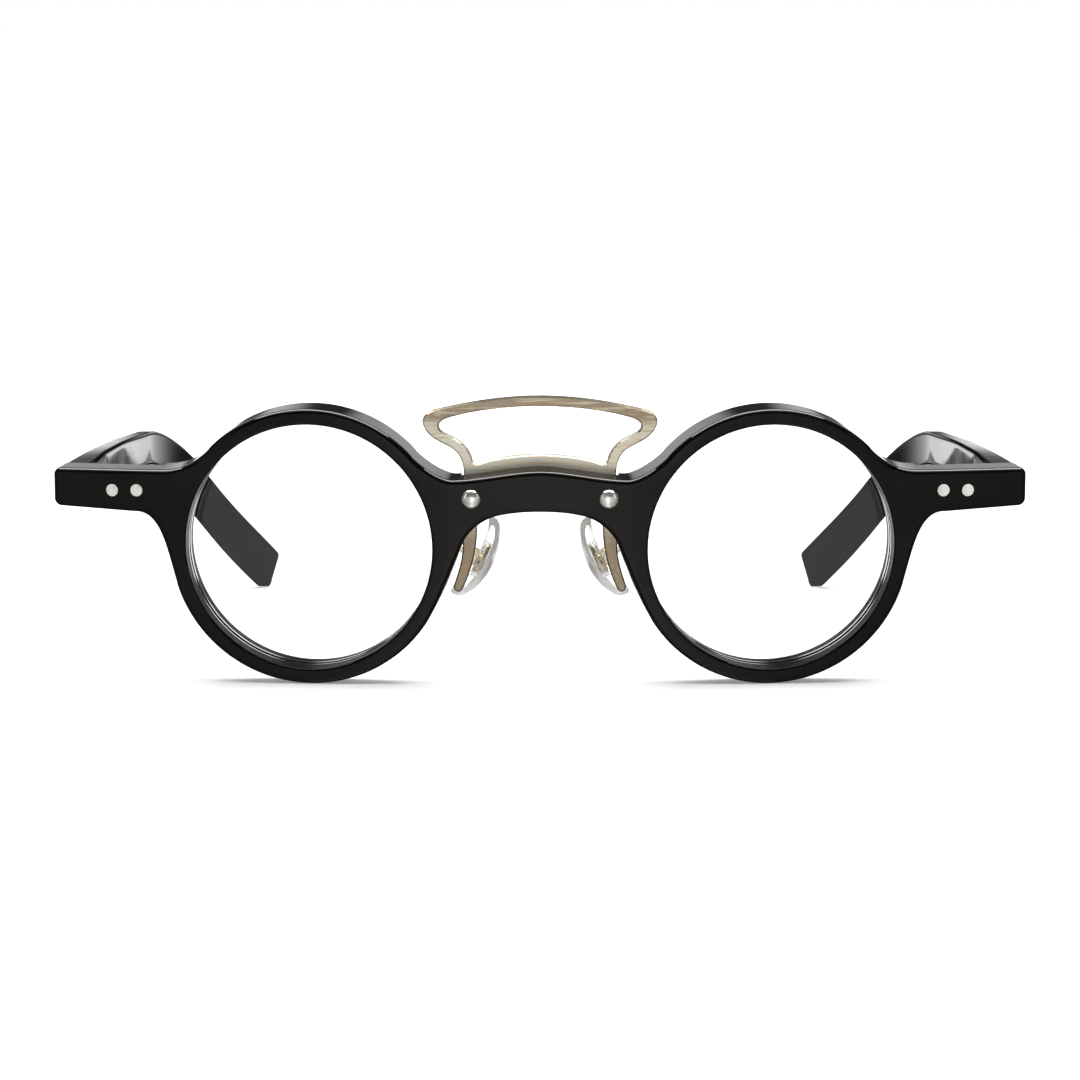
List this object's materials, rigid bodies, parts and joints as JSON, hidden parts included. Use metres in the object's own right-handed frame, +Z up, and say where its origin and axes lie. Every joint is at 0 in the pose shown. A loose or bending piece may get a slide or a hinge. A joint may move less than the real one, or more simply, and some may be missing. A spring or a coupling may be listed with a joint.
{
  "type": "eyeglasses",
  "caption": "Round black acetate eyeglasses with a metal bridge bar, riveted hinges, folding temples with turned-down ends and clear nose pads.",
  "frame": {"origin": "bottom centre of the whole object's box at rest, on the surface that the rims and temple ends stand on", "axes": "+X towards the wearer's left, +Y towards the wearer's ears, +Z up"},
  "size_m": [0.1402, 0.1374, 0.0416],
  "materials": {
    "black_acetate": "polished, glossy black cellulose acetate",
    "clear_lens": "clear plastic lens with an anti-reflection coat",
    "antique_gold": "brushed lengthwise, antique gold",
    "silver": "polished nickel silver",
    "hinge_steel": "satin nickel silver",
    "clear_pad": "clear soft plastic, slightly frosted",
    "core_steel": "plain drawn wire"
  },
  "bodies": {
    "front": {"front_frame": "black_acetate", "bridge_plate": "antique_gold", "lens_left": "clear_lens", "bridge_stud_left": "silver", "endpiece_rivet_inner_left": "silver", "endpiece_rivet_outer_left": "silver", "front_hinge_left": "hinge_steel", "hinge_screw_left": "hinge_steel", "pad_arm_left": "antique_gold", "pad_screw_left": "silver", "lens_right": "clear_lens", "bridge_stud_right": "silver", "endpiece_rivet_inner_right": "silver", "endpiece_rivet_outer_right": "silver", "front_hinge_right": "hinge_steel", "hinge_screw_right": "hinge_steel", "pad_arm_right": "antique_gold", "pad_screw_right": "silver"},
    "temple_left": {"temple_left": "black_acetate", "temple_core_left": "core_steel", "temple_hinge_left": "hinge_steel", "temple_rivet_front_left": "silver", "temple_rivet_rear_left": "silver"},
    "nose_pad_left": {"nose_pad_left": "clear_pad", "pad_insert_left": "silver"},
    "temple_right": {"temple_right": "black_acetate", "temple_core_right": "core_steel", "temple_hinge_right": "hinge_steel", "temple_rivet_front_right": "silver", "temple_rivet_rear_right": "silver"},
    "nose_pad_right": {"nose_pad_right": "clear_pad", "pad_insert_right": "silver"}
  },
  "joints": [
    {"name": "temple_left_fold", "type": "hinge", "parent": "front", "child": "temple_left", "pos_m": [0.0656, -0.05554, 0.0279], "axis": [0, 0, 1], "range_deg": [0, 84]},
    {"name": "temple_right_fold", "type": "hinge", "parent": "front", "child": "temple_right", "pos_m": [-0.0656, -0.05554, 0.0279], "axis": [0, 0, -1], "range_deg": [0, 71]},
    {"name": "nose_pad_left_rock", "type": "hinge", "parent": "front", "child": "nose_pad_left", "pos_m": [0.00959, -0.0558, 0.01777], "axis": [-0.0909, -0.9829, -0.1603], "range_deg": [-8, 8]},
    {"name": "nose_pad_right_rock", "type": "hinge", "parent": "front", "child": "nose_pad_right", "pos_m": [-0.00959, -0.0558, 0.01777], "axis": [0.0909, -0.9829, -0.1603], "range_deg": [-8, 8]}
  ]
}
